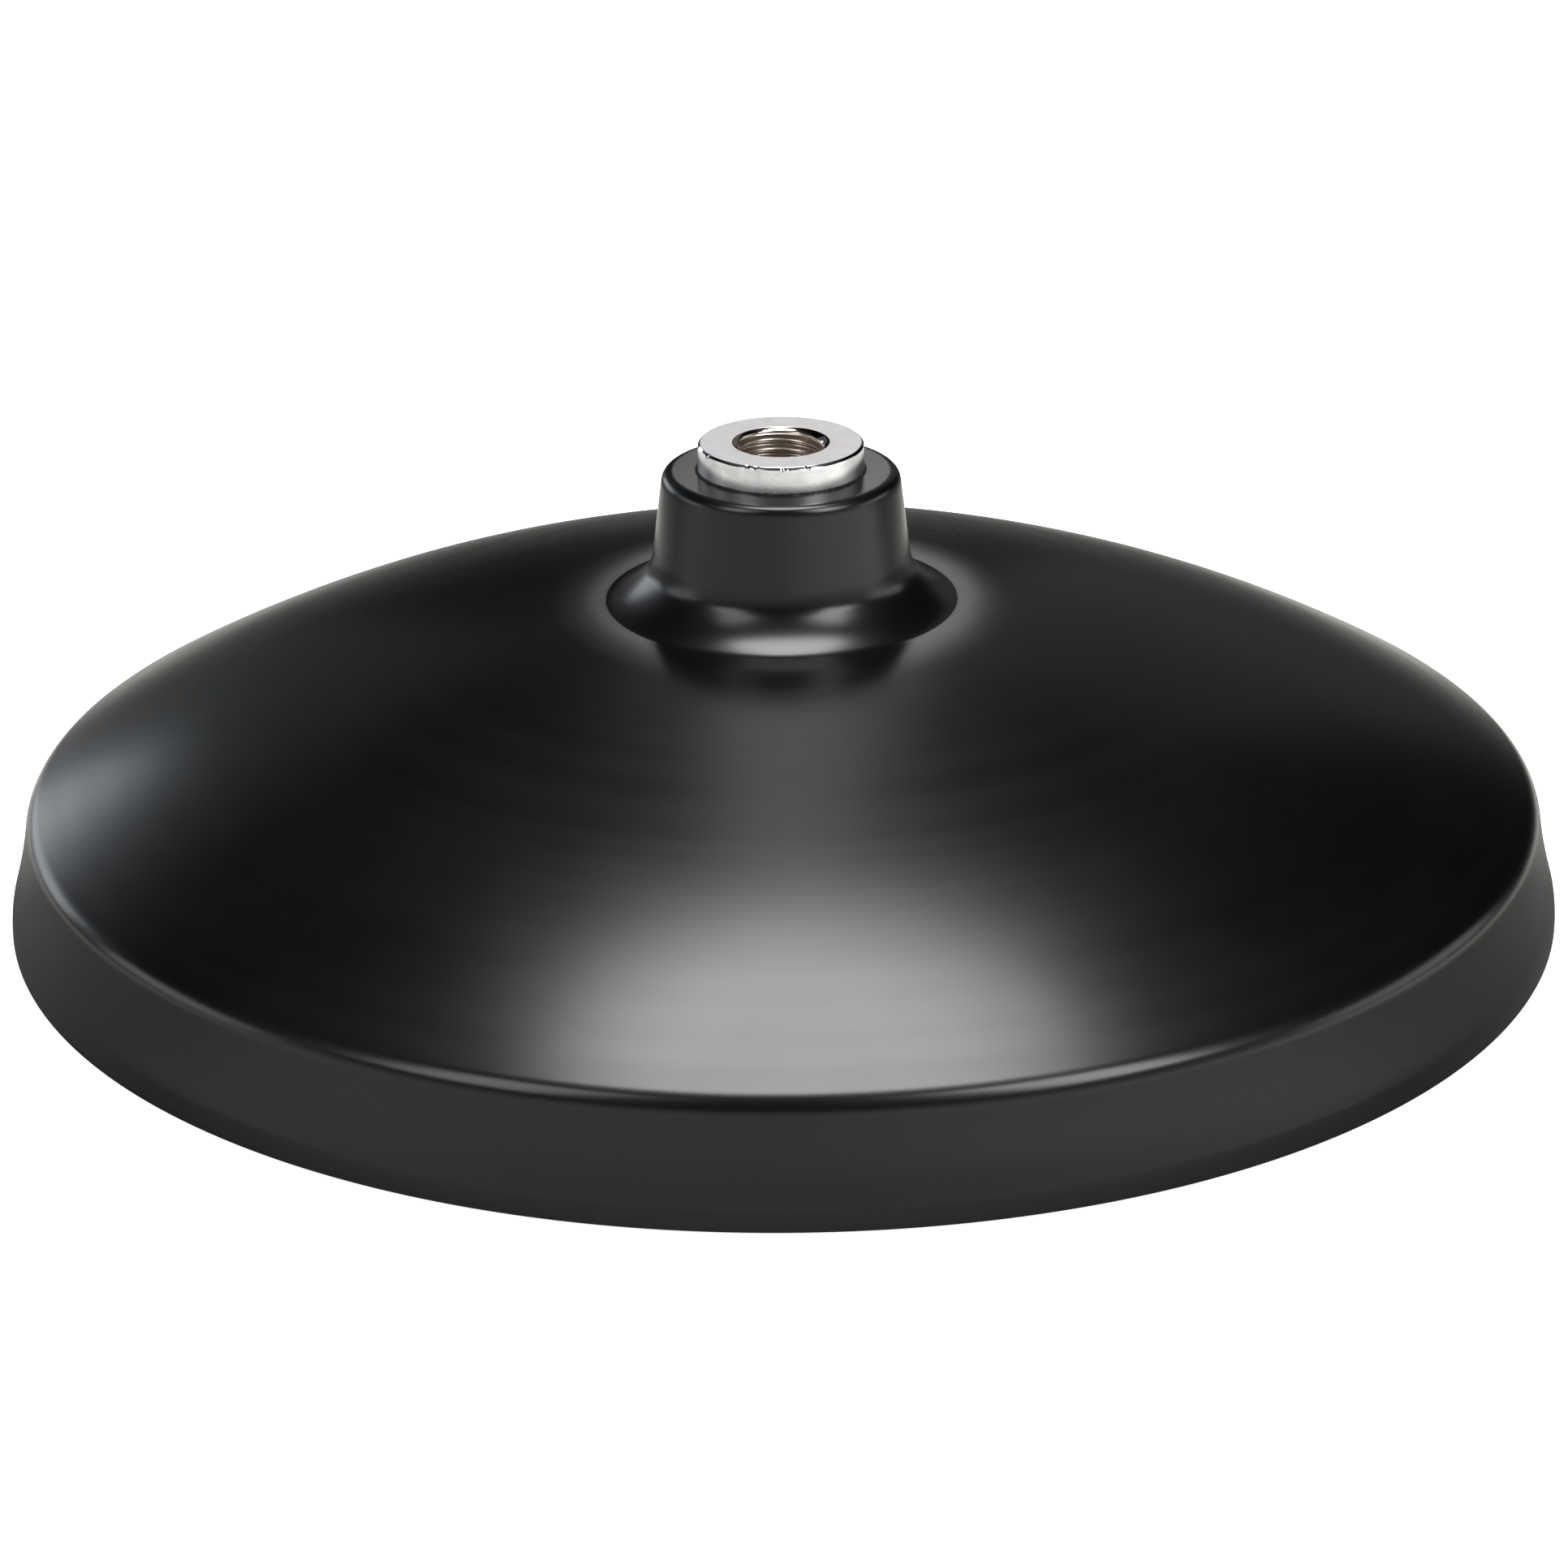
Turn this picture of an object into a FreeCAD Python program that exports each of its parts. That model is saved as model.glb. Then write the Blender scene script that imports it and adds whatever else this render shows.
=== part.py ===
"""Sink plunger head: a moulded rubber cup round a tapped steel bush with its anchor plate.

Millimetres, +Z up. The origin is the centre of the lip's rest plane, and the bush's axis is Z.
Each outline is a half section in the XZ plane, turned once round Z.
"""

import FreeCAD, Part
import math
import os

import Sketcher

FULL_TURN = 360
ROUNDING_ERROR = 1e-6
# The side of the way from its start to its end on which an arc lies
LEFT = 1
RIGHT = -1

# The driving dimensions. Radii and heights are of the sharp corners, before their edges are rounded.
DIMENSIONS = {
    # the lip and the skirt
    "rim_radius": 82.55,
    "lip_edge_height": 0.5,
    "lip_crown": 9.6,
    "lip_top_radius": 82.1,
    "lip_top_height": 3.4,
    "lip_wall": 3.2,
    "skirt_flare": 52.7,
    # the dome
    "shoulder_radius": 80.4,
    "shoulder_height": 12.2,
    "shoulder_round": 2.9,
    "dome_radius": 156.5,
    "dome_wall": 4.2,
    "inner_shoulder_radius": 77.0,
    # the shallow moat round the hub, where the dome levels out
    "moat_radius": 18.7,
    "moat_blend": 42.0,
    "flare_radius": 18.15,
    "flare_height": 32.97,
    # the hub
    "foot_flare": 10.5,
    "foot_radius": 14.05,
    "foot_height": 36.35,
    "hub_base_radius": 13.61,
    "hub_base_height": 37.6,
    "hub_top_radius": 12.45,
    "hub_top_height": 47.1,
    "hub_top_rise": 0.2,
    "hub_round": 1.4,
    # the boss under the hub
    "boss_radius": 17.5,
    "boss_height": 24.5,
    "boss_draft": 1.5,
    "boss_round": 2.5,
    # the bush
    "bush_radius": 8.7,
    "bush_top": 50.2,
    "bush_chamfer": 0.25,
    "neck_radius": 7.2,
    "neck_top": 40.5,
    "neck_bottom": 36.5,
    "spigot_radius": 6.5,
    "stake_radius": 7.6,
    "stake_height": 0.9,
    # the tapped bore, 3/8-24: its wall is at the tap drill's size
    "bore_depth": 15.0,
    "bore_diameter": 8.5,
    "countersink_diameter": 9.6,
    "countersink_angle": 90.0,
    "drill_point_angle": 118.0,
    # the anchor plate
    "plate_radius": 14.0,
    "plate_top": 32.1,
    "plate_thickness": 1.5,
    "lock_hole_radius": 1.5,
    "lock_hole_circle": 10.6,
    "lock_holes": 6,
}

# Heights on the dome's outer and inner spheres, which share a centre on Z.
DOME_CENTRE = "(dims.shoulder_height - sqrt(dims.dome_radius^2 - dims.shoulder_radius^2))"
INNER_DOME_RADIUS = "(dims.dome_radius - dims.dome_wall)"


# The dome levels out between these two rings, round an arc of moat_blend.
SHELF_RADIUS = "(dims.moat_radius / (1 - dims.moat_blend / dims.dome_radius))"
BLEND_RISE = f"(dims.moat_blend * (1 - sqrt(1 - ({SHELF_RADIUS} / dims.dome_radius)^2)))"


def sphere_height(sphere_radius, radius):
    """The height at which a sphere round the dome's centre has this radius from Z."""
    return f"{DOME_CENTRE} + sqrt({sphere_radius}^2 - {radius}^2)"


def add_dimensions(doc):
    sheet = doc.addObject("Spreadsheet::Sheet", "dims")
    for row, (word, value) in enumerate(DIMENSIONS.items(), start=1):
        sheet.set(f"A{row}", word)
        sheet.set(f"B{row}", str(value))
        sheet.setAlias(f"B{row}", word)
    doc.recompute()
    return sheet


def value_of(sheet, expression):
    return float(sheet.evalExpression(expression))


def origin_plane(body, role):
    return next(f for f in body.Origin.OriginFeatures if f.Role == role)


def new_body(doc, name):
    body = doc.addObject("PartDesign::Body", name)
    body.Label = name
    return body


def new_sketch(body, name, support):
    sketch = body.newObject("Sketcher::SketchObject", name)
    sketch.AttachmentSupport = support
    sketch.MapMode = "FlatFace"
    return sketch


def bind(sketch, kind, references, expression, value):
    """Adds one sketch dimension and binds it to the sheet."""
    index = sketch.addConstraint(Sketcher.Constraint(kind, *references, value))
    sketch.setExpression(f"Constraints[{index}]", expression)


def arc_between(start, end, radius, side):
    """The short arc from start to end that lies on this side of the way between them."""
    chord = end - start
    middle = (start + end) * 0.5
    left = FreeCAD.Vector(-chord.y, chord.x, 0).normalize()
    rise = radius - math.sqrt(radius**2 - (chord.Length / 2) ** 2)
    return Part.Arc(start, middle + left * (side * rise), end)


def corner_ref(sketch, geometry, point):
    """The sketch reference (geometry, end) of the end of this line or arc that is at point."""
    for end in (1, 2):
        if sketch.getPoint(geometry, end).isEqual(point, ROUNDING_ERROR):
            return geometry, end
    raise ValueError("a line or arc of the outline doesn't end at its corner")


def draw_outline(sheet, sketch, corners, arcs):
    """Closes an outline through corners, pairs of expressions. arcs maps a corner's number to
    (radius expression, side) where the way on from that corner is an arc."""
    points = [FreeCAD.Vector(value_of(sheet, x), value_of(sheet, y), 0) for x, y in corners]
    count = len(points)
    for i, start in enumerate(points):
        end = points[(i + 1) % count]
        if i in arcs:
            radius, side = arcs[i]
            piece = sketch.addGeometry(arc_between(start, end, value_of(sheet, radius), side))
            bind(sketch, "Radius", (piece,), radius, value_of(sheet, radius))
        else:
            sketch.addGeometry(Part.LineSegment(start, end))
    for i, point in enumerate(points):
        here = corner_ref(sketch, i, point)
        before = corner_ref(sketch, (i - 1) % count, point)
        sketch.addConstraint(Sketcher.Constraint("Coincident", *before, *here))
        for kind, axis, place, expression in (
            ("DistanceX", -2, point.x, corners[i][0]),
            ("DistanceY", -1, point.y, corners[i][1]),
        ):
            if abs(place) < ROUNDING_ERROR:
                sketch.addConstraint(Sketcher.Constraint("PointOnObject", *here, axis))
            else:
                bind(sketch, kind, (-1, 1, *here), expression, place)


def turn(body, sketch, name):
    """Revolves a half section once round Z."""
    solid = body.newObject("PartDesign::Revolution", name)
    solid.Profile = sketch
    solid.ReferenceAxis = (sketch, ["V_Axis"])
    solid.Angle = FULL_TURN
    sketch.Visibility = False
    return solid


def ring_edges(sheet, feature, radius, height):
    """Names of the circular edges round Z with this radius and height."""
    found = []
    for number, edge in enumerate(feature.Shape.Edges, start=1):
        if not isinstance(edge.Curve, Part.Circle):
            continue
        same_radius = abs(edge.Curve.Radius - value_of(sheet, radius)) < ROUNDING_ERROR
        same_height = abs(edge.Curve.Center.z - value_of(sheet, height)) < ROUNDING_ERROR
        if same_radius and same_height:
            found.append(f"Edge{number}")
    if not found:
        raise ValueError(f"no ring edge at radius {radius} and height {height}")
    return found


def round_ring(doc, sheet, body, name, ring, size):
    """Fillets the ring edge at ring, a (radius, height) pair, by the size expression."""
    doc.recompute()
    base = body.Tip
    fillet = body.newObject("PartDesign::Fillet", name)
    fillet.Base = (base, ring_edges(sheet, base, *ring))
    fillet.setExpression("Radius", size)


def make_moulding(doc, sheet):
    """The rubber without the hollow that the bush and the plate fill."""
    body = new_body(doc, "moulding")
    sketch = new_sketch(body, "moulding_section", (origin_plane(body, "XZ_Plane"), [""]))
    lip_inner = "dims.rim_radius - dims.lip_wall"
    shoulder = ("dims.shoulder_radius", "dims.shoulder_height")
    inner_shoulder = (
        "dims.inner_shoulder_radius",
        sphere_height(INNER_DOME_RADIUS, "dims.inner_shoulder_radius"),
    )
    shelf = (SHELF_RADIUS, sphere_height("dims.dome_radius", SHELF_RADIUS))
    moat = ("dims.moat_radius", f"{shelf[1]} + {BLEND_RISE}")
    flare = ("dims.flare_radius", "dims.flare_height")
    # The arc from the moat to the flare starts level.
    across = "(dims.moat_radius - dims.flare_radius)"
    up = f"(dims.flare_height - ({moat[1]}))"
    moat_round = f"({across}^2 + {up}^2) / (2 * {up})"
    boss_top = ("dims.boss_radius", sphere_height(INNER_DOME_RADIUS, "dims.boss_radius"))
    boss_foot = ("dims.boss_radius - dims.boss_draft", "dims.boss_height")
    hub_top = ("dims.hub_top_radius", "dims.hub_top_height")
    corners = [
        ("0", "dims.boss_height"),
        boss_foot,
        boss_top,
        inner_shoulder,
        (lip_inner, "0"),
        ("dims.rim_radius", "0"),
        ("dims.rim_radius", "dims.lip_edge_height"),
        ("dims.lip_top_radius", "dims.lip_top_height"),
        shoulder,
        shelf,
        moat,
        flare,
        ("dims.foot_radius", "dims.foot_height"),
        ("dims.hub_base_radius", "dims.hub_base_height"),
        hub_top,
        ("dims.bush_radius", "dims.hub_top_height + dims.hub_top_rise"),
        ("0", "dims.hub_top_height + dims.hub_top_rise"),
    ]
    arcs = {
        2: (INNER_DOME_RADIUS, LEFT),
        6: ("dims.lip_crown", RIGHT),
        7: ("dims.skirt_flare", LEFT),
        8: ("dims.dome_radius", RIGHT),
        9: ("dims.moat_blend", RIGHT),
        10: (moat_round, LEFT),
        11: ("dims.foot_flare", LEFT),
    }
    draw_outline(sheet, sketch, corners, arcs)
    turn(body, sketch, "moulding_turned")
    round_ring(doc, sheet, body, "shoulder_edge", shoulder, "dims.shoulder_round")
    round_ring(doc, sheet, body, "hub_edge", hub_top, "dims.hub_round")
    round_ring(doc, sheet, body, "boss_root", boss_top, "dims.boss_round")
    round_ring(doc, sheet, body, "boss_edge", boss_foot, "dims.boss_round")
    round_ring(doc, sheet, body, "inner_shoulder_edge", inner_shoulder, "dims.shoulder_round")
    return body


def make_bush_blank(doc, sheet):
    """A turned collar with a retaining neck, and below it a spigot staked under the anchor plate."""
    body = new_body(doc, "bush_blank")
    sketch = new_sketch(body, "bush_section", (origin_plane(body, "XZ_Plane"), [""]))
    plate_bottom = "dims.plate_top - dims.plate_thickness"
    stake_bottom = f"{plate_bottom} - dims.stake_height"
    top = ("dims.bush_radius", "dims.bush_top")
    corners = [
        ("0", stake_bottom),
        ("dims.stake_radius", stake_bottom),
        ("dims.stake_radius", plate_bottom),
        ("dims.spigot_radius", plate_bottom),
        ("dims.spigot_radius", "dims.plate_top"),
        ("dims.bush_radius", "dims.plate_top"),
        ("dims.bush_radius", "dims.neck_bottom"),
        ("dims.neck_radius", "dims.neck_bottom"),
        ("dims.neck_radius", "dims.neck_top"),
        ("dims.bush_radius", "dims.neck_top"),
        top,
        ("0", "dims.bush_top"),
    ]
    draw_outline(sheet, sketch, corners, {})
    turned = turn(body, sketch, "bush_turned")
    doc.recompute()

    chamfer = body.newObject("PartDesign::Chamfer", "bush_edge")
    chamfer.Base = (turned, ring_edges(sheet, turned, *top))
    chamfer.setExpression("Size", "dims.bush_chamfer")
    return body


def face_at_height(shape, height):
    """The name of the level face at this height."""
    for number, face in enumerate(shape.Faces, start=1):
        level = abs(face.BoundBox.ZMax - height) + abs(face.BoundBox.ZMin - height) < ROUNDING_ERROR
        if level:
            return f"Face{number}"
    raise ValueError(f"no level face at {height}")


def make_bush(doc, sheet, blank):
    """The blank with a blind tapping hole and its countersink, bored from the top face."""
    body = new_body(doc, "threaded_bush")
    body.BaseFeature = blank
    doc.recompute()
    solid = body.Tip
    top = face_at_height(solid.Shape, value_of(sheet, "dims.bush_top"))
    sketch = new_sketch(body, "bore_centre", (solid, [top]))
    diameter = value_of(sheet, "dims.bore_diameter")
    bore = Part.Circle(FreeCAD.Vector(), FreeCAD.Vector(0, 0, 1), diameter / 2)
    circle = sketch.addGeometry(bore)
    sketch.addConstraint(Sketcher.Constraint("Coincident", circle, 3, -1, 1))
    bind(sketch, "Diameter", (circle,), "dims.bore_diameter", diameter)
    doc.recompute()

    hole = body.newObject("PartDesign::Hole", "bore")
    hole.Profile = sketch
    hole.ThreadType = "None"
    hole.DepthType = "Dimension"
    hole.setExpression("Depth", "dims.bore_depth")
    hole.setExpression("Diameter", "dims.bore_diameter")
    hole.HoleCutType = "Countersink"
    hole.HoleCutCustomValues = True
    hole.setExpression("HoleCutDiameter", "dims.countersink_diameter")
    hole.setExpression("HoleCutCountersinkAngle", "dims.countersink_angle")
    hole.DrillPoint = "Angled"
    hole.setExpression("DrillPointAngle", "dims.drill_point_angle")
    hole.DrillForDepth = False
    sketch.Visibility = False
    doc.recompute()
    if hole.Shape.Volume >= solid.Shape.Volume:
        raise ValueError("the bore removed nothing")
    return body


def make_plate(doc, sheet):
    """A pressed disc with a ring of holes that the rubber grips through."""
    body = new_body(doc, "anchor_plate")
    sketch = new_sketch(body, "plate_section", (origin_plane(body, "XZ_Plane"), [""]))
    bottom = "dims.plate_top - dims.plate_thickness"
    corners = [
        ("dims.spigot_radius", bottom),
        ("dims.plate_radius", bottom),
        ("dims.plate_radius", "dims.plate_top"),
        ("dims.spigot_radius", "dims.plate_top"),
    ]
    draw_outline(sheet, sketch, corners, {})
    disc = turn(body, sketch, "plate_turned")
    doc.recompute()

    top = face_at_height(disc.Shape, value_of(sheet, "dims.plate_top"))
    hole_sketch = new_sketch(body, "lock_hole_section", (disc, [top]))
    centre = FreeCAD.Vector(value_of(sheet, "dims.lock_hole_circle"), 0, 0)
    radius = value_of(sheet, "dims.lock_hole_radius")
    circle = hole_sketch.addGeometry(Part.Circle(centre, FreeCAD.Vector(0, 0, 1), radius))
    bind(hole_sketch, "Radius", (circle,), "dims.lock_hole_radius", radius)
    bind(hole_sketch, "DistanceX", (-1, 1, circle, 3), "dims.lock_hole_circle", centre.x)
    hole_sketch.addConstraint(Sketcher.Constraint("PointOnObject", circle, 3, -1))
    pocket = body.newObject("PartDesign::Pocket", "lock_hole")
    pocket.Profile = hole_sketch
    pocket.Type = "ThroughAll"
    hole_sketch.Visibility = False
    doc.recompute()
    if pocket.Shape.Volume >= disc.Shape.Volume:
        raise ValueError("the lock hole removed nothing")

    pattern = body.newObject("PartDesign::PolarPattern", "lock_hole_ring")
    pattern.Originals = [pocket]
    pattern.Axis = (hole_sketch, ["N_Axis"])
    pattern.Angle = FULL_TURN
    pattern.setExpression("Occurrences", "dims.lock_holes")
    body.Tip = pattern
    return body


def make_cup(doc, moulding, blank, plate):
    """The moulding with the hollow that the bush and the plate fill."""
    core = doc.addObject("Part::MultiFuse", "insert_core")
    core.Shapes = [blank, plate]
    cup = doc.addObject("Part::Cut", "cup")
    cup.Base = moulding
    cup.Tool = core
    cup.Label = "cup"
    return cup


def save(doc, parts):
    for thing in doc.Objects:
        if {"Invalid", "Error"} & set(thing.State):
            raise RuntimeError(f"{thing.Label} failed: {thing.State}")
    os.makedirs("parts", exist_ok=True)
    for part in parts:
        shape = part.Shape
        if shape.isNull() or not shape.isValid():
            raise RuntimeError(f"{part.Label} has no valid shape")
        shape.exportStep(os.path.join("parts", f"{part.Label}.step"))


def main():
    doc = FreeCAD.newDocument("sink_plunger")
    sheet = add_dimensions(doc)
    blank = make_bush_blank(doc, sheet)
    doc.recompute()
    bush = make_bush(doc, sheet, blank)
    plate = make_plate(doc, sheet)
    moulding = make_moulding(doc, sheet)
    doc.recompute()
    cup = make_cup(doc, moulding, blank, plate)
    doc.recompute()
    save(doc, [cup, bush, plate])


main()
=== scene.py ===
import math
import random

import bpy
import numpy as np
from mathutils import Matrix, Vector, noise


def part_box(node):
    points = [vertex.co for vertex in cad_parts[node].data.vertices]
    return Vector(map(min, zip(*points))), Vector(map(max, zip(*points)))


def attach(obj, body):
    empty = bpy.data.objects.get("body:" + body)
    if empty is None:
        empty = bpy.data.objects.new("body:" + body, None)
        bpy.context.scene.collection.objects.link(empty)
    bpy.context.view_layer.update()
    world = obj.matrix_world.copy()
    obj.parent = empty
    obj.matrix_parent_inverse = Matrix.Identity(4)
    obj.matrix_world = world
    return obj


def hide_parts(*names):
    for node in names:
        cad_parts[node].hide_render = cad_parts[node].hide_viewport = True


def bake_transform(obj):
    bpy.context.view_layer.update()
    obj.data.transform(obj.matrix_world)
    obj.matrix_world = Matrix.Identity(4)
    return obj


# The looks of a sink plunger's head. Its meshes are turned from the same outlines as the CAD.
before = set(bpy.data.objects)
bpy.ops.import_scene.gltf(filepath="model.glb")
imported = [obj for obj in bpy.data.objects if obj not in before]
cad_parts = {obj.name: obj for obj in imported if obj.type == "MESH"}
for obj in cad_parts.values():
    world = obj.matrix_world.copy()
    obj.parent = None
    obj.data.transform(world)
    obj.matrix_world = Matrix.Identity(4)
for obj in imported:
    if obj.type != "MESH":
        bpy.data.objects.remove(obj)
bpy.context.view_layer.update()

MM = 0.001
TURN = 2 * math.pi
random.seed(7)

# ---------------------------------------------------------------------------------------------
# Sizes in millimetres. The outer ones are read from the CAD parts in model.glb; the rest follow the
# CAD outline.
# A pair is the (radius, height) of a corner, before it is rounded.
# ---------------------------------------------------------------------------------------------
_, CUP_HIGH = (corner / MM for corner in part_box("cup"))
BUSH_LOW, BUSH_HIGH = (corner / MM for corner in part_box("threaded_bush"))
PLATE_LOW, PLATE_HIGH = (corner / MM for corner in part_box("anchor_plate"))

RIM = CUP_HIGH.x
HUB_FACE = CUP_HIGH.z
BUSH = BUSH_HIGH.x
BUSH_TOP = BUSH_HIGH.z
BUSH_FOOT = BUSH_LOW.z
PLATE = PLATE_HIGH.x
PLATE_TOP = PLATE_HIGH.z
PLATE_FOOT = PLATE_LOW.z

LIP_WALL = 3.2
LIP_EDGE = 0.5
LIP_TOP = (82.1, 3.4)
LIP_CROWN = 9.6
SKIRT_FLARE = 52.7
SHOULDER = (80.4, 12.2)
INNER_SHOULDER_RADIUS = 77.0
DOME = 156.5
DOME_WALL = 4.2
MOAT_RADIUS = 18.7
MOAT_BLEND = 42.0
FLARE = (18.15, 32.97)
FOOT = (14.05, 36.35)
FOOT_FLARE = 10.5
HUB_BASE = (13.61, 37.6)
HUB_TOP = (12.45, 47.1)
BOSS_RADIUS = 17.5
BOSS_FOOT = (16.0, 24.5)

NECK_RADIUS = 7.2
NECK_TOP = 40.5
NECK_FOOT = 36.5
SPIGOT_RADIUS = 6.5
STAKE_RADIUS = 7.6
BUSH_CHAMFER = 0.25

# How far the rounding of each corner reaches along the outline, first of the rubber
BOSS_ROUND = 1.8
INNER_SHOULDER_ROUND = 1.4
LIP_INNER_ROUND = 0.3
LIP_OUTER_ROUND = 0.22
LIP_TOP_ROUND = 0.8
SHOULDER_ROUND = 1.4
FLARE_ROUND = 0.4
FOOT_ROUND = 0.5
HUB_BASE_ROUND = 0.8
HUB_TOP_ROUND = 1.1
MENISCUS_ROUND = 0.2
# and then of the bush
STAKE_ROUND = 0.25
SPIGOT_ROUND = 0.1
COLLAR_ROUND = 0.15
NECK_ROUND = 0.2
CRISP_ROUND = 0.05
MOUTH_ROUND = 0.5

# The handle thread, 3/8-24
BORE_RADIUS = 4.25
THREAD_MAJOR = 4.76
THREAD_PITCH = 25.4 / 24
THREAD_FOOT = BUSH_TOP - 13.0
BORE_FOOT = BUSH_TOP - 15.0
BORE_TIP = 2.55
MOUTH_RADIUS = 4.8
MOUTH_FOOT = BUSH_TOP - (MOUTH_RADIUS - BORE_RADIUS)
# Shares of half a pitch: the flat crest that is left, and the flank below it
THREAD_CREST = 0.16
THREAD_FLANK = 0.70
THREAD_ROWS = 14

# The rubber that crept up the bush in the mould
MENISCUS = 0.12
MENISCUS_SINK = 0.1
FLASH_SINK = 0.05
FLASH_WIDTH = 0.12
FLASH_RISE = 0.14

# Wide enough to tell a point on the bush's side from one beside it
GAP = 0.01

CUP_SEGMENTS = 320
BUSH_SEGMENTS = 384
CREASE = math.radians(30)
# The side of the way from its start to its end on which an arc lies
LEFT = 1
RIGHT = -1

WHITE = (1.0, 1.0, 1.0, 1.0)
WARM_WHITE = (1.0, 0.99, 0.93, 1.0)


# ---------------------------------------------------------------------------------------------
# Outlines: lists of (radius, height) points, walked from the axis back to the axis
# ---------------------------------------------------------------------------------------------
def line(start, end, step=0.8):
    """Points from start to end, at most step apart."""
    count = max(2, math.ceil(math.dist(start, end) / step) + 1)
    return [tuple(p) for p in np.linspace(start, end, count)]


def arc(start, end, radius, side, step=0.8):
    """The short arc from start to end, on this side of the way between them."""
    a, b = np.array(start), np.array(end)
    chord = b - a
    length = np.hypot(*chord)
    left = np.array([-chord[1], chord[0]]) / length
    centre = (a + b) / 2 - left * side * math.sqrt(radius**2 - length**2 / 4)
    first = math.atan2(*(a - centre)[::-1])
    turn = math.atan2(*(b - centre)[::-1]) - first
    turn = (turn + math.pi) % TURN - math.pi
    count = max(3, math.ceil(abs(turn) * radius / step) + 1)
    return [tuple(centre + radius * np.array([math.cos(t), math.sin(t)]))
            for t in first + np.linspace(0, turn, count)]


def trimmed(path, cut):
    """path without its last cut millimetres."""
    path = list(path)
    while len(path) > 1:
        last = math.dist(path[-1], path[-2])
        if last > cut:
            share = cut / last
            path[-1] = tuple(np.array(path[-1]) * (1 - share) + np.array(path[-2]) * share)
            return path
        cut -= last
        path.pop()
    return path


def join(first, second, cut=0.0, steps=8):
    """One path from two that meet. The corner is rounded over cut millimetres on each side."""
    if cut == 0.0:
        return first + second[1:]
    corner = np.array(first[-1])
    before = trimmed(first, cut)
    after = trimmed(second[::-1], cut)[::-1]
    a, b = np.array(before[-1]), np.array(after[0])
    curve = [tuple((1 - t) ** 2 * a + 2 * t * (1 - t) * corner + t * t * b)
             for t in np.linspace(0, 1, steps + 1)[1:-1]]
    return before + curve + after


def outline(*legs):
    """Joins legs, pairs of (path, cut), where cut rounds the corner at the start of the path."""
    path = legs[0][0]
    for leg, cut in legs[1:]:
        path = join(path, leg, cut)
    return path


def dome_height(sphere, radius):
    """The height at which a sphere round the dome's centre has this radius from Z."""
    centre = SHOULDER[1] - math.sqrt(DOME**2 - SHOULDER[0] ** 2)
    return centre + math.sqrt(sphere**2 - radius**2)


def moat_shelf():
    """Where the dome starts to level out towards the hub, and the level ring that it comes to."""
    start = MOAT_RADIUS / (1 - MOAT_BLEND / DOME)
    height = dome_height(DOME, start)
    rise = MOAT_BLEND * (1 - math.sqrt(1 - (start / DOME) ** 2))
    return (start, height), (MOAT_RADIUS, height + rise)


def level_start_radius(start, end):
    """The radius of the arc that is level at start and passes through end."""
    across, up = start[0] - end[0], end[1] - start[1]
    return (across**2 + up**2) / (2 * up)


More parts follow.
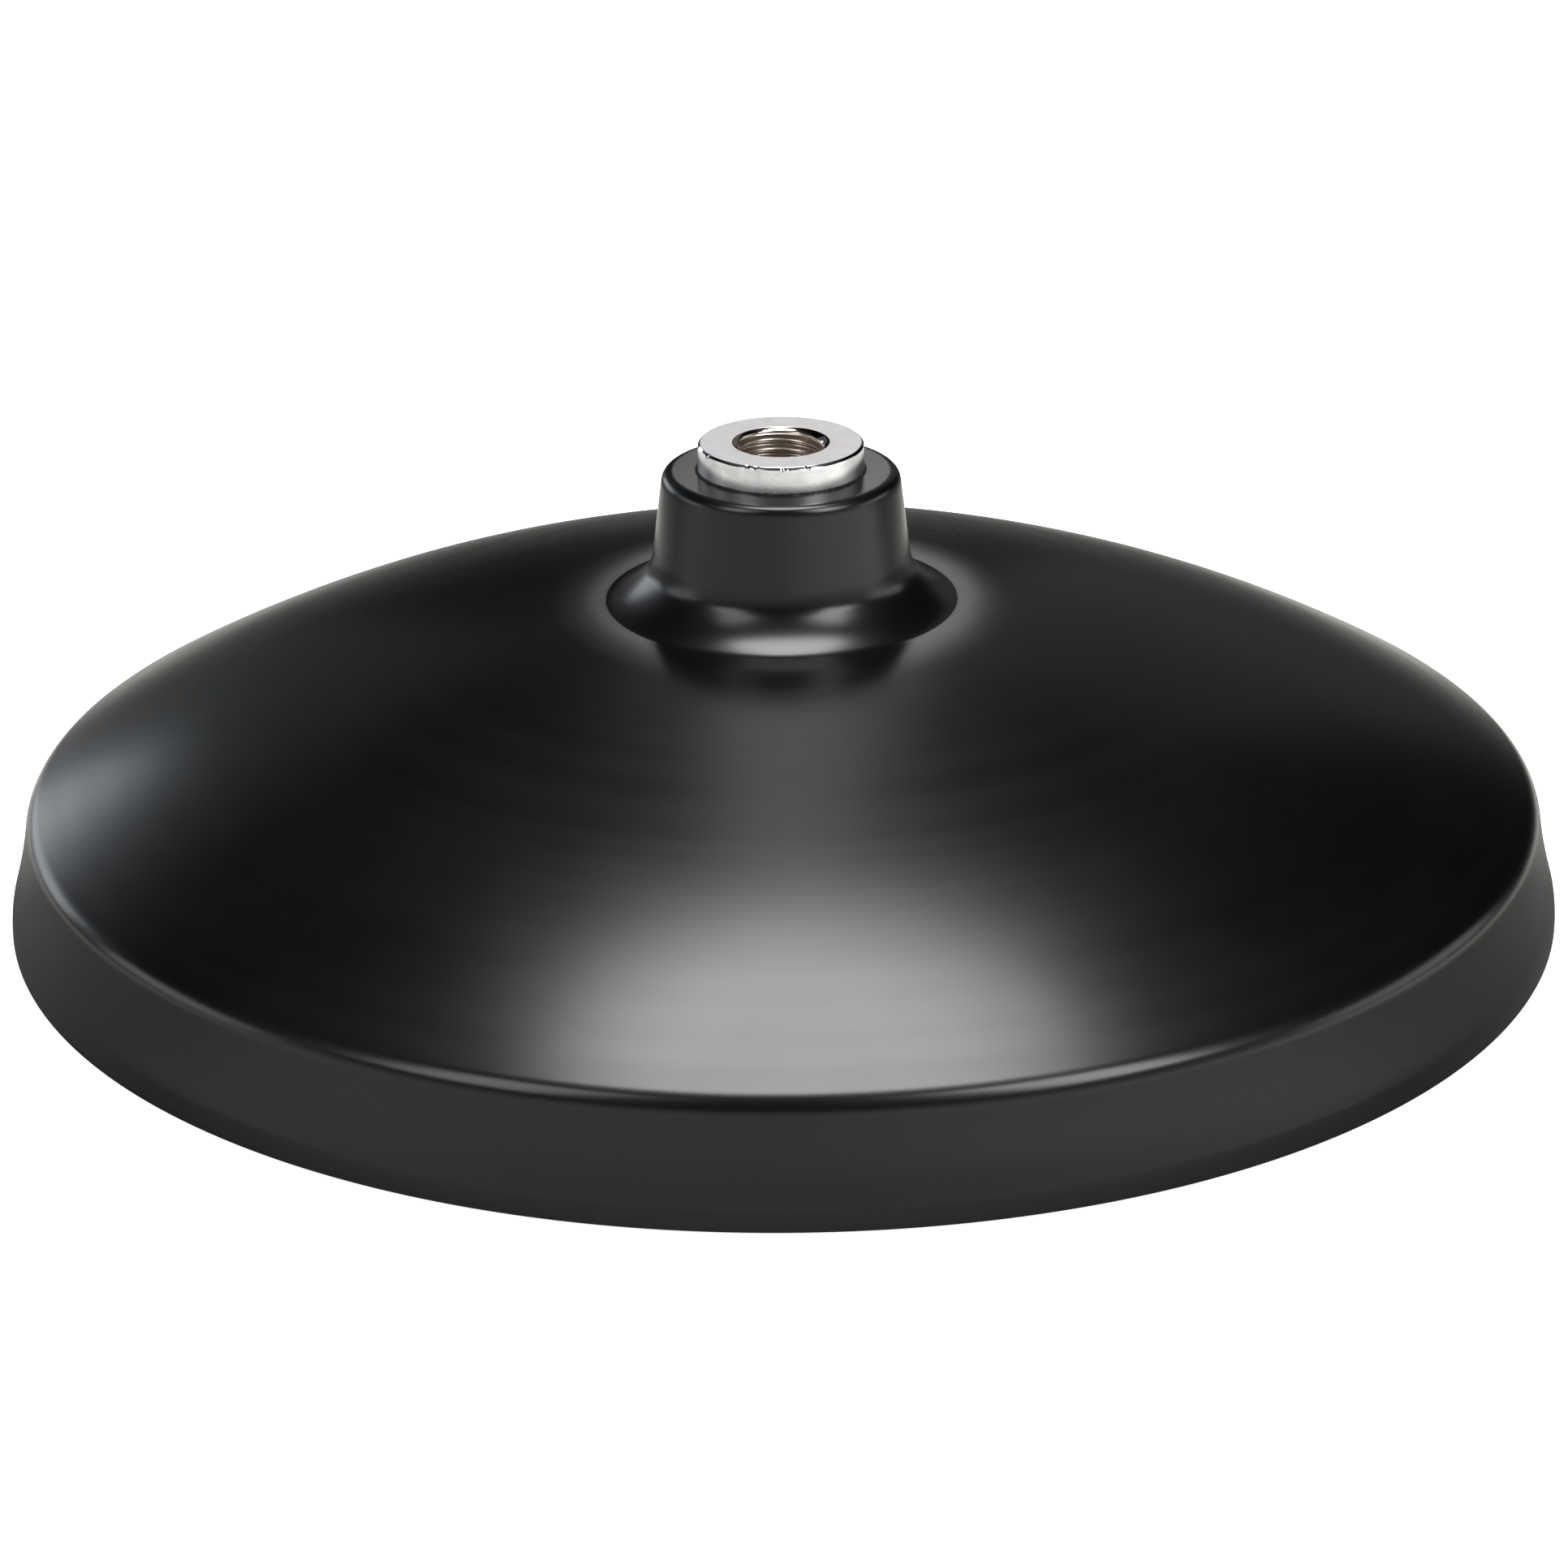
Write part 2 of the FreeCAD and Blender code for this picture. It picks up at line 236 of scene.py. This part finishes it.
def cup_outline():
    """From the middle of the boss round the lip, over the dome and down the bush's hollow."""
    inner = DOME - DOME_WALL
    boss_top = (BOSS_RADIUS, dome_height(inner, BOSS_RADIUS))
    inner_shoulder = (INNER_SHOULDER_RADIUS, dome_height(inner, INNER_SHOULDER_RADIUS))
    lip_inner = (RIM - LIP_WALL, 0.0)
    shelf, moat = moat_shelf()
    meniscus_foot = (BUSH + MENISCUS, HUB_FACE - MENISCUS_SINK)
    meniscus_top = (BUSH, HUB_FACE - MENISCUS_SINK + MENISCUS)
    return outline(
        (line((0.0, BOSS_FOOT[1]), BOSS_FOOT), 0),
        (line(BOSS_FOOT, boss_top), BOSS_ROUND),
        (arc(boss_top, inner_shoulder, inner, LEFT), BOSS_ROUND),
        (line(inner_shoulder, lip_inner), INNER_SHOULDER_ROUND),
        (line(lip_inner, (RIM, 0.0)), LIP_INNER_ROUND),
        (line((RIM, 0.0), (RIM, LIP_EDGE)), LIP_OUTER_ROUND),
        (arc((RIM, LIP_EDGE), LIP_TOP, LIP_CROWN, RIGHT, step=0.3), 0),
        (arc(LIP_TOP, SHOULDER, SKIRT_FLARE, LEFT, step=0.4), LIP_TOP_ROUND),
        (arc(SHOULDER, shelf, DOME, RIGHT), SHOULDER_ROUND),
        (arc(shelf, moat, MOAT_BLEND, RIGHT), 0),
        (arc(moat, FLARE, level_start_radius(moat, FLARE), LEFT, step=0.15), 0),
        (arc(FLARE, FOOT, FOOT_FLARE, LEFT, step=0.2), FLARE_ROUND),
        (line(FOOT, HUB_BASE, step=0.2), FOOT_ROUND),
        (line(HUB_BASE, HUB_TOP, step=0.5), HUB_BASE_ROUND),
        (line(HUB_TOP, meniscus_foot, step=0.3), HUB_TOP_ROUND),
        (arc(meniscus_foot, meniscus_top, MENISCUS, LEFT, step=0.08), MENISCUS_ROUND),
        (line(meniscus_top, (BUSH, NECK_TOP)), 0),
        (line((BUSH, NECK_TOP), (NECK_RADIUS, NECK_TOP)), 0),
        (line((NECK_RADIUS, NECK_TOP), (NECK_RADIUS, NECK_FOOT)), 0),
        (line((NECK_RADIUS, NECK_FOOT), (BUSH, NECK_FOOT)), 0),
        (line((BUSH, NECK_FOOT), (BUSH, PLATE_TOP)), 0),
        (line((BUSH, PLATE_TOP), (PLATE, PLATE_TOP)), 0),
        (line((PLATE, PLATE_TOP), (PLATE, PLATE_FOOT)), 0),
        (line((PLATE, PLATE_FOOT), (STAKE_RADIUS, PLATE_FOOT)), 0),
        (line((STAKE_RADIUS, PLATE_FOOT), (STAKE_RADIUS, BUSH_FOOT)), 0),
        (line((STAKE_RADIUS, BUSH_FOOT), (0.0, BUSH_FOOT)), 0),
    )


def bush_outline():
    """From the middle of the stake round the collar, over the top face and down the bore."""
    side_edge = (BUSH, BUSH_TOP - BUSH_CHAMFER)
    face_edge = (BUSH - BUSH_CHAMFER, BUSH_TOP)
    # The rows are closer together between these two rings, where the knocks are.
    side_ring = (BUSH, BUSH_TOP - 1.0)
    face_ring = (BUSH - 0.7, BUSH_TOP)
    mouth = (MOUTH_RADIUS, BUSH_TOP)
    mouth_foot = (BORE_RADIUS, MOUTH_FOOT)
    thread_step = THREAD_PITCH / THREAD_ROWS
    return outline(
        (line((0.0, BUSH_FOOT), (STAKE_RADIUS, BUSH_FOOT)), 0),
        (line((STAKE_RADIUS, BUSH_FOOT), (STAKE_RADIUS, PLATE_FOOT)), STAKE_ROUND),
        (line((STAKE_RADIUS, PLATE_FOOT), (SPIGOT_RADIUS, PLATE_FOOT)), SPIGOT_ROUND),
        (line((SPIGOT_RADIUS, PLATE_FOOT), (SPIGOT_RADIUS, PLATE_TOP)), 0),
        (line((SPIGOT_RADIUS, PLATE_TOP), (BUSH, PLATE_TOP)), 0),
        (line((BUSH, PLATE_TOP), (BUSH, NECK_FOOT)), COLLAR_ROUND),
        (line((BUSH, NECK_FOOT), (NECK_RADIUS, NECK_FOOT)), COLLAR_ROUND),
        (line((NECK_RADIUS, NECK_FOOT), (NECK_RADIUS, NECK_TOP)), NECK_ROUND),
        (line((NECK_RADIUS, NECK_TOP), (BUSH, NECK_TOP)), NECK_ROUND),
        (line((BUSH, NECK_TOP), side_ring), 0),
        (line(side_ring, side_edge, step=0.08), 0),
        (line(side_edge, face_edge, step=0.06), CRISP_ROUND),
        (line(face_edge, face_ring, step=0.08), CRISP_ROUND),
        (line(face_ring, mouth, step=0.35), 0),
        (line(mouth, mouth_foot, thread_step), MOUTH_ROUND),
        (line(mouth_foot, (BORE_RADIUS, THREAD_FOOT), thread_step), CRISP_ROUND),
        (line((BORE_RADIUS, THREAD_FOOT), (BORE_RADIUS, BORE_FOOT), step=0.4), 0),
        (line((BORE_RADIUS, BORE_FOOT), (0.0, BORE_FOOT - BORE_TIP)), 0),
    )


# ---------------------------------------------------------------------------------------------
# Meshes
# ---------------------------------------------------------------------------------------------
def spin(name, path, segments, crease, shape=None):
    """Turns an outline that starts and ends on the axis into a closed mesh.
    Corners of the outline that turn by more than crease stay crisp in the shading.
    shape(radius, height, angle), if given, moves each point of the surface."""
    angles = [TURN * i / segments for i in range(segments)]
    rows = path[1:-1]
    verts = []
    for radius, height in rows:
        for angle in angles:
            r, z = shape(radius, height, angle) if shape else (radius, height)
            verts.append((r * math.cos(angle) * MM, r * math.sin(angle) * MM, z * MM))
    first, last = len(verts), len(verts) + 1
    verts += [(0, 0, path[0][1] * MM), (0, 0, path[-1][1] * MM)]
    faces = []
    top = (len(rows) - 1) * segments
    for i in range(segments):
        j = (i + 1) % segments
        faces.append((first, j, i))
        faces.append((last, top + i, top + j))
        for row in range(len(rows) - 1):
            low, high = row * segments, (row + 1) * segments
            faces.append((low + i, low + j, high + j, high + i))
    obj = make_object(name, verts, faces)
    mark_creases(obj.data, path, segments, crease)
    return obj


def make_object(name, verts, faces):
    mesh = bpy.data.meshes.new(name)
    mesh.from_pydata(verts, [], faces)
    mesh.shade_smooth()
    obj = bpy.data.objects.new(name, mesh)
    bpy.context.scene.collection.objects.link(obj)
    return obj


def mark_creases(mesh, path, segments, crease):
    """Marks the rings at the outline's sharp corners as sharp edges."""
    legs = np.diff(np.array(path), axis=0)
    headings = np.arctan2(legs[:, 1], legs[:, 0])
    turns = np.abs((np.diff(headings) + math.pi) % TURN - math.pi)
    ends = np.zeros(len(mesh.edges) * 2, dtype=np.int32)
    mesh.edges.foreach_get("vertices", ends)
    rows = ends.reshape(-1, 2) // segments
    level = (rows[:, 0] == rows[:, 1]) & (rows[:, 0] < len(turns))
    sharp = level & (turns[np.minimum(rows[:, 0], len(turns) - 1)] > crease)
    attribute = mesh.attributes.new("sharp_edge", "BOOLEAN", "EDGE")
    attribute.data.foreach_set("value", sharp)


def ring_noise(angle, scale, seed):
    """Noise between -1 and 1 that closes on itself round the axis."""
    return noise.noise(Vector((math.cos(angle) * scale, math.sin(angle) * scale, seed)))


def cup_surface(radius, height, angle):
    """The slight waviness of a thick rubber moulding. The lip's land and the hollow stay true."""
    land = 1.0
    fade = 6.0
    if height < land or radius < BUSH + GAP:
        return radius, height
    spot = Vector((radius * math.cos(angle), radius * math.sin(angle), height))
    # Broad waves about 24 mm across, and lower ones of 9 mm
    wave = noise.noise(spot / 24.0) * 0.05 + noise.noise(spot / 9.0) * 0.012
    return radius, height + wave * min(1.0, (height - land) / fade)


def make_cup():
    """The rubber cup, in place of the CAD's own."""
    cup = spin("rubber_cup", cup_outline(), CUP_SEGMENTS, CREASE, cup_surface)
    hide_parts("cup")
    cup.data.materials.append(rubber_material())
    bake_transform(cup)
    return cup


def thread_depth(height, angle):
    """How far the thread is cut into the bore's wall at this height and angle."""
    turns = (height / THREAD_PITCH - angle / TURN) % 1.0
    flank = 1.0 - abs(2.0 * turns - 1.0)
    cut = min(1.0, max(0.0, (flank - THREAD_CREST) / THREAD_FLANK))
    run_out = min(1.0, max(0.0, (height - THREAD_FOOT) / THREAD_PITCH))
    return (THREAD_MAJOR - BORE_RADIUS) * cut * run_out


def edge_nicks():
    """Angle, half width in radians and depth of the small knocks on the bush's top edge."""
    front = -math.pi / 2
    nicks = [(front - 0.42, 0.020, 0.10), (front - 0.30, 0.012, 0.14), (front + 0.02, 0.016, 0.10)]
    nicks += [(front + 0.10, 0.010, 0.07), (front + 0.33, 0.022, 0.09)]
    for _ in range(9):
        centre = random.uniform(0, TURN)
        half_width = random.uniform(0.006, 0.02)
        depth = random.uniform(0.03, 0.1)
        nicks.append((centre, half_width, depth))
    return nicks


def make_bush():
    """The bush, with the thread cut into its bore and small knocks in its top edge."""
    nicks = edge_nicks()
    knocked = BUSH_CHAMFER + 0.1
    slant = 0.7

    def surface(radius, height, angle):
        if radius < BORE_RADIUS + 0.001 and THREAD_FOOT <= height <= MOUTH_FOOT:
            return radius + thread_depth(height, angle), height
        if BORE_RADIUS < radius < MOUTH_RADIUS and height > MOUTH_FOOT:
            return max(radius, BORE_RADIUS + thread_depth(height, angle)), height
        if radius > BUSH - knocked and height > BUSH_TOP - knocked:
            for centre, half_width, depth in nicks:
                away = abs((angle - centre + math.pi) % TURN - math.pi) / half_width
                if away < 1.0:
                    bite = depth * (1 - away * away)
                    return radius - bite * slant, height - bite * slant
        return radius, height

    bush = spin("chromed_bush", bush_outline(), BUSH_SEGMENTS, CREASE, surface)
    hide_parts("threaded_bush")
    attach(bush, "insert")
    bush.data.materials.append(chrome_material())
    return bush


def make_flash():
    """A thin ragged ring of rubber flash that clings to the bush above the meniscus."""
    foot = HUB_FACE - FLASH_SINK
    clearance = 0.005
    # The half section, in shares of the flash's width and height
    section = [(0.0, 0.0), (1.0, 0.0), (0.9, 0.45), (0.45, 0.85), (0.0, 1.0)]
    segments = BUSH_SEGMENTS
    verts, faces = [], []
    for i in range(segments):
        angle = TURN * i / segments
        ragged = 0.6 + 0.35 * ring_noise(angle, 5, 1.3) + 0.6 * ring_noise(angle, 30, 4.1)
        swell = 0.8 + 0.5 * ring_noise(angle, 9, 8.7)
        for out, up in section:
            r = BUSH + clearance + out * FLASH_WIDTH * swell
            z = foot + up * (MENISCUS + FLASH_RISE * ragged)
            verts.append((r * math.cos(angle) * MM, r * math.sin(angle) * MM, z * MM))
    count = len(section)
    for i in range(segments):
        j = (i + 1) % segments
        for k in range(count):
            n = (k + 1) % count
            faces.append((i * count + k, j * count + k, j * count + n, i * count + n))
    flash = make_object("rubber_flash", verts, faces)
    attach(flash, "insert")
    flash.data.materials.append(flash_material())
    return flash


# ---------------------------------------------------------------------------------------------
# Materials
# ---------------------------------------------------------------------------------------------
class Nodes:
    """Short calls for building a node tree."""

    def __init__(self, tree, coordinates):
        self.tree = tree
        self.place = self.add("ShaderNodeTexCoord").outputs[coordinates]

    def add(self, kind, inputs=None, **settings):
        node = self.tree.nodes.new(kind)
        for key, value in settings.items():
            setattr(node, key, value)
        for key, value in (inputs or {}).items():
            self.plug(value, node.inputs[key])
        return node

    def plug(self, value, socket):
        if isinstance(value, bpy.types.NodeSocket):
            self.tree.links.new(value, socket)
        else:
            socket.default_value = value

    def noise(self, size_mm, detail=3.0, rough=0.5):
        inputs = {"Vector": self.place, "Scale": 1 / (size_mm * MM)}
        inputs.update({"Detail": detail, "Roughness": rough})
        return self.add("ShaderNodeTexNoise", inputs).outputs["Fac"]

    def math(self, operation, a, b=0.0):
        node = self.add("ShaderNodeMath", operation=operation)
        self.plug(a, node.inputs[0])
        self.plug(b, node.inputs[1])
        return node.outputs[0]

    def span(self, value, low, high, to_low=0.0, to_high=1.0):
        inputs = {"Value": value, "From Min": low, "From Max": high}
        inputs.update({"To Min": to_low, "To Max": to_high})
        return self.add("ShaderNodeMapRange", inputs, clamp=True).outputs["Result"]

    def mix(self, share, a, b):
        """A colour between a and b. The node's sockets 6, 7 and 2 are the ones for colours."""
        node = self.add("ShaderNodeMix", data_type="RGBA")
        self.plug(share, node.inputs[0])
        self.plug(a, node.inputs[6])
        self.plug(b, node.inputs[7])
        return node.outputs[2]

    def components(self):
        """The X, Y and Z of the place."""
        return self.add("ShaderNodeSeparateXYZ", {"Vector": self.place}).outputs

    def by_camera(self):
        """1 for what the camera sees straight, 0 for what lights or is mirrored in the object."""
        return self.add("ShaderNodeLightPath").outputs["Is Camera Ray"]

    def axis_distance(self):
        """Distance from Z, in metres, and height."""
        x, y, height = self.components()
        square = self.math("ADD", self.math("POWER", x, 2.0), self.math("POWER", y, 2.0))
        return self.math("SQRT", square), height

    def rings(self, size_mm, detail=2.0):
        """Noise that changes only with the distance from Z, as turning leaves it."""
        distance, _ = self.axis_distance()
        inputs = {"W": self.math("MULTIPLY", distance, 1 / (size_mm * MM)), "Scale": 1.0}
        inputs["Detail"] = detail
        return self.add("ShaderNodeTexNoise", inputs, noise_dimensions="1D").outputs["Fac"]

    def bump(self, height, depth_mm, normal=None):
        inputs = {"Height": height, "Distance": depth_mm * MM, "Strength": 1.0}
        if normal is not None:
            inputs["Normal"] = normal
        return self.add("ShaderNodeBump", inputs).outputs["Normal"]


class Surface(Nodes):
    """The node tree of one material."""

    def __init__(self, name):
        self.material = bpy.data.materials.new(name)
        self.material.use_nodes = True
        super().__init__(self.material.node_tree, "Object")

    def finish(self, **inputs):
        """Plugs values into the shader's inputs, with _ for a space in a name."""
        shader = self.tree.nodes["Principled BSDF"]
        for key, value in inputs.items():
            self.plug(value, shader.inputs[key.replace("_", " ")])
        return self.material


def grey(value, warmth=0.0):
    return (value * (1 + warmth), value, value * (1 - warmth), 1.0)


def rubber_material():
    """Black moulded rubber: satin, with faint turned marks and bloom. The hub's top face is
    painted lighter and browner, as painted sheen of the overhead light it catches."""
    n = Surface("black_rubber")
    distance, height = n.axis_distance()
    cloud = n.noise(22.0, 2.0)
    rings = n.rings(3.0, 1.0)
    bloom = n.span(n.noise(14.0, 2.0, 0.5), 0.45, 0.85)
    near_top = n.span(height, (HUB_FACE - 0.4) * MM, (HUB_FACE - 0.25) * MM)
    inside_edge = n.span(distance, (HUB_TOP[0] - 0.55) * MM, (HUB_TOP[0] - 1.15) * MM)
    painted_top_sheen = n.math("MULTIPLY", near_top, inside_edge)

    colour = n.mix(bloom, grey(0.0012, 0.05), grey(0.0024, 0.05))
    # Painted sheen: the hub's top face is painted lighter and browner than the rest of the rubber.
    colour = n.mix(painted_top_sheen, colour, grey(0.006, 0.09))
    rough = n.span(cloud, 0.3, 0.7, 0.245, 0.275)
    rough = n.math("ADD", rough, n.span(rings, 0.3, 0.7, -0.008, 0.008))
    return n.finish(Base_Color=colour, Roughness=rough, IOR=1.5)


def flash_material():
    """The torn, matt edge of the same rubber."""
    n = Surface("torn_rubber")
    torn = n.noise(0.25, 4.0, 0.7)
    colour = n.mix(n.span(torn, 0.62, 0.78), grey(0.004), grey(0.05, 0.03))
    normal = n.bump(torn, 0.06)
    return n.finish(Base_Color=colour, Roughness=0.6, Normal=normal)


def chrome_material():
    """Chrome over a turned face: satin on top, painted brighter on the side as a painted reflection,
    warm in the bore and painted darker with depth as painted shade.
    """
    n = Surface("chrome_plate")
    distance, height = n.axis_distance()
    in_bore = n.span(distance, (MOUTH_RADIUS - 0.05) * MM, (MOUTH_RADIUS + 0.02) * MM, 1.0, 0.0)
    depth = n.span(height, (BUSH_TOP - 7.0) * MM, (BUSH_TOP - 0.3) * MM, 1.0, 0.0)
    near_mouth = n.span(distance, MOUTH_RADIUS * MM, (MOUTH_RADIUS + 2.2) * MM, 1.0, 0.0)
    on_face = n.span(height, (BUSH_TOP - 0.02) * MM, (BUSH_TOP - 0.005) * MM)
    on_side = n.span(height, (BUSH_TOP - 0.5) * MM, (BUSH_TOP - 0.35) * MM, 1.0, 0.0)
    haze = n.noise(1.6, 4.0, 0.6)
    rings = n.rings(0.11)

    plate = n.mix(n.span(haze, 0.35, 0.7), (0.80, 0.81, 0.83, 1.0), (0.74, 0.75, 0.77, 1.0))
    warm_edge = n.math("MULTIPLY", near_mouth, 0.35)
    plate = n.mix(warm_edge, plate, (0.78, 0.70, 0.62, 1.0))
    # Painted reflection: the side is painted brighter, mottled by the haze.
    clear = n.math("MULTIPLY", on_side, n.span(haze, 0.35, 0.65, 1.0, 0.2))
    plate = n.mix(clear, plate, (0.91, 0.92, 0.94, 1.0))
    # Painted shade: the bore's warm colour is painted darker with depth.
    bore = n.mix(depth, (0.70, 0.63, 0.56, 1.0), (0.24, 0.19, 0.15, 1.0))
    colour = n.mix(in_bore, plate, bore)

    rough = n.span(haze, 0.3, 0.7, 0.07, 0.13)
    rough = n.math("ADD", rough, n.math("MULTIPLY", on_face, 0.34))
    rough = n.math("ADD", rough, n.math("MULTIPLY", on_side, 0.19))
    normal = n.bump(rings, 0.0022)
    normal = n.bump(haze, 0.004, normal)
    return n.finish(Base_Color=colour, Metallic=1.0, Roughness=rough, Normal=normal)


def steel_material():
    """Phosphated pressed steel, as bonding plates are."""
    n = Surface("phosphated_steel")
    crystals = n.noise(0.35, 5.0, 0.7)
    colour = n.mix(crystals, (0.10, 0.10, 0.105, 1.0), (0.20, 0.20, 0.20, 1.0))
    rough = n.span(crystals, 0.2, 0.8, 0.55, 0.75)
    return n.finish(Base_Color=colour, Metallic=0.7, Roughness=rough, Normal=n.bump(crystals, 0.01))


def floor_material():
    """White to the camera. The object sees it pale in front and at its sides, with a painted shadow
    close to the rim, and dark behind beyond twice the rim's radius. Places are in metres."""
    n = Surface("pale_floor")
    x, y, _ = n.components()
    distance, _ = n.axis_distance()
    # Painted light: the open floor in front is painted brighter towards the right.
    open_floor = n.span(x, 0.0, 0.15, 0.64, 1.0)
    # Painted shadow: the floor close to the rim is painted darker, darkest at the sides.
    painted_rim_shadow = n.span(y, -0.085, -0.055, 0.42, 0.17)
    in_front = n.mix(n.span(distance, 0.108, 0.140), painted_rim_shadow, open_floor)
    behind = n.span(distance, 0.142, 0.175, 0.95, 0.15)
    brightness = n.mix(n.span(y, 0.0, 0.06), in_front, behind)
    thrown = n.mix(brightness, grey(0.0), WARM_WHITE)
    seen = n.by_camera()
    white = n.span(n.noise(60.0), 0.3, 0.7, 0.86, 0.88)
    colour = n.mix(seen, thrown, white)
    glow = n.math("MULTIPLY", seen, 0.92)
    return n.finish(Base_Color=colour, Roughness=1.0, Specular_IOR_Level=0.0,
                    Emission_Color=WHITE, Emission_Strength=glow)


# ---------------------------------------------------------------------------------------------
# The studio
# ---------------------------------------------------------------------------------------------
def place_facing(obj, centre, target=(0, 0, 0.02)):
    """Puts obj at centre with its -Z towards target and its X level."""
    back = (Vector(centre) - Vector(target)).normalized()
    overhead = back.z > 0.95
    above = Vector((0, 1, 0)) if overhead else Vector((0, 0, 1))
    side = above.cross(back).normalized()
    turn = Matrix((side, back.cross(side), back)).transposed().to_4x4()
    obj.matrix_world = Matrix.Translation(centre) @ turn


def soft_box(name, centre, size, radiance, colour=(1, 1, 1), shape="RECTANGLE"):
    """A soft box that faces the object. Its size is (width, height) in metres, and radiance is how
    bright its face is."""
    light = bpy.data.lights.new(name, "AREA")
    light.shape = shape
    light.size, light.size_y = size
    light.color = colour
    fill = math.pi / 4 if shape == "ELLIPSE" else 1.0
    light.energy = radiance * math.pi * size[0] * size[1] * fill
    obj = bpy.data.objects.new(name, light)
    bpy.context.scene.collection.objects.link(obj)
    place_facing(obj, centre)
    obj.visible_camera = False


def around(azimuth, elevation, distance):
    """A place round the object. Azimuth 0 is behind it, 90 to its right and 180 at the camera."""
    a, e = math.radians(azimuth), math.radians(elevation)
    return Vector((math.sin(a) * math.cos(e), math.cos(a) * math.cos(e), math.sin(e))) * distance


def light_studio():
    """One large lamp overhead, a strip behind, and smaller boxes at the front, sides and back."""
    soft_box("overhead", (0.04, 0.10, 1.2), (0.77, 0.55), 11.3, (1.0, 0.99, 1.02), "ELLIPSE")
    soft_box("back_strip", around(0.8, 41.5, 1.5), (0.22, 1.38), 1.6, (1.0, 0.98, 0.95))
    soft_box("front_left", around(-130, 45, 1.5), (0.60, 0.85), 3.5, (1.0, 0.99, 0.99))
    soft_box("front_right", around(128, 45, 1.5), (0.60, 0.85), 7.5, (1.0, 0.99, 1.0))
    soft_box("back_left", around(-42, 9, 1.6), (0.80, 0.48), 2.3, (0.86, 0.93, 1.0))
    soft_box("back_left_fill", around(-36, 16, 1.7), (1.30, 0.95), 0.10, (0.86, 0.93, 1.0))
    soft_box("side_left", around(-84, 12, 1.6), (0.90, 0.45), 1.4)
    soft_box("side_right", around(80, 12, 1.6), (1.10, 0.45), 1.4, (1.0, 0.98, 0.95))
    soft_box("back_right", around(17, 20, 1.6), (0.50, 0.90), 0.12, (1.0, 0.96, 0.90))


def make_world():
    """White to the camera. The object sees a pale horizon at its sides and front, dark behind."""
    world = bpy.data.worlds.new("studio")
    world.use_nodes = True
    world.node_tree.nodes.clear()
    bpy.context.scene.world = world

    n = Nodes(world.node_tree, "Generated")
    _, y, z = n.components()
    in_front = n.span(y, 0.4, -0.2, 0.015, 0.9)
    at_horizon = n.span(z, 0.0, 0.35, 1.0, 0.08)
    glow = n.math("MULTIPLY", in_front, at_horizon)
    felt = n.add("ShaderNodeBackground", {"Color": WARM_WHITE, "Strength": glow})
    seen = n.add("ShaderNodeBackground", {"Color": WHITE})
    either = {0: n.by_camera(), 1: felt.outputs[0], 2: seen.outputs[0]}
    mix = n.add("ShaderNodeMixShader", either)
    n.add("ShaderNodeOutputWorld", {"Surface": mix.outputs[0]})


def make_floor():
    """A square floor just under the lip, so that the two don't share a plane."""
    size = 3.0
    drop = 0.0002
    corners = [(-size, -size, -drop), (size, -size, -drop), (size, size, -drop), (-size, size, -drop)]
    floor = make_object("floor", corners, [(0, 1, 2, 3)])
    floor.data.materials.append(floor_material())


def make_camera():
    """The photograph's view: 22 degrees down from a distance of between six and seven rim radii."""
    rim = RIM * MM
    place = Vector((0, -6.162, 2.655)) * rim
    pitch = math.radians(22.2)
    roll = math.radians(0.35)
    camera = bpy.data.cameras.new("camera")
    camera.sensor_width = 36.0
    camera.lens = 117.6
    camera.shift_x = 0.0007
    camera.clip_start = 0.01
    obj = bpy.data.objects.new("camera", camera)
    turn = Matrix.Rotation(math.pi / 2 - pitch, 4, "X") @ Matrix.Rotation(-roll, 4, "Z")
    obj.matrix_world = Matrix.Translation(place) @ turn
    bpy.context.scene.collection.objects.link(obj)
    bpy.context.scene.camera = obj


def dress_plate():
    """Gives the CAD's own mesh of the anchor plate its material."""
    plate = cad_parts["anchor_plate"]
    plate.data.materials.clear()
    plate.data.materials.append(steel_material())


def main():
    make_cup()
    make_bush()
    make_flash()
    dress_plate()
    light_studio()
    make_world()
    make_floor()
    make_camera()
    bpy.context.scene.view_settings.view_transform = "Standard"


main()
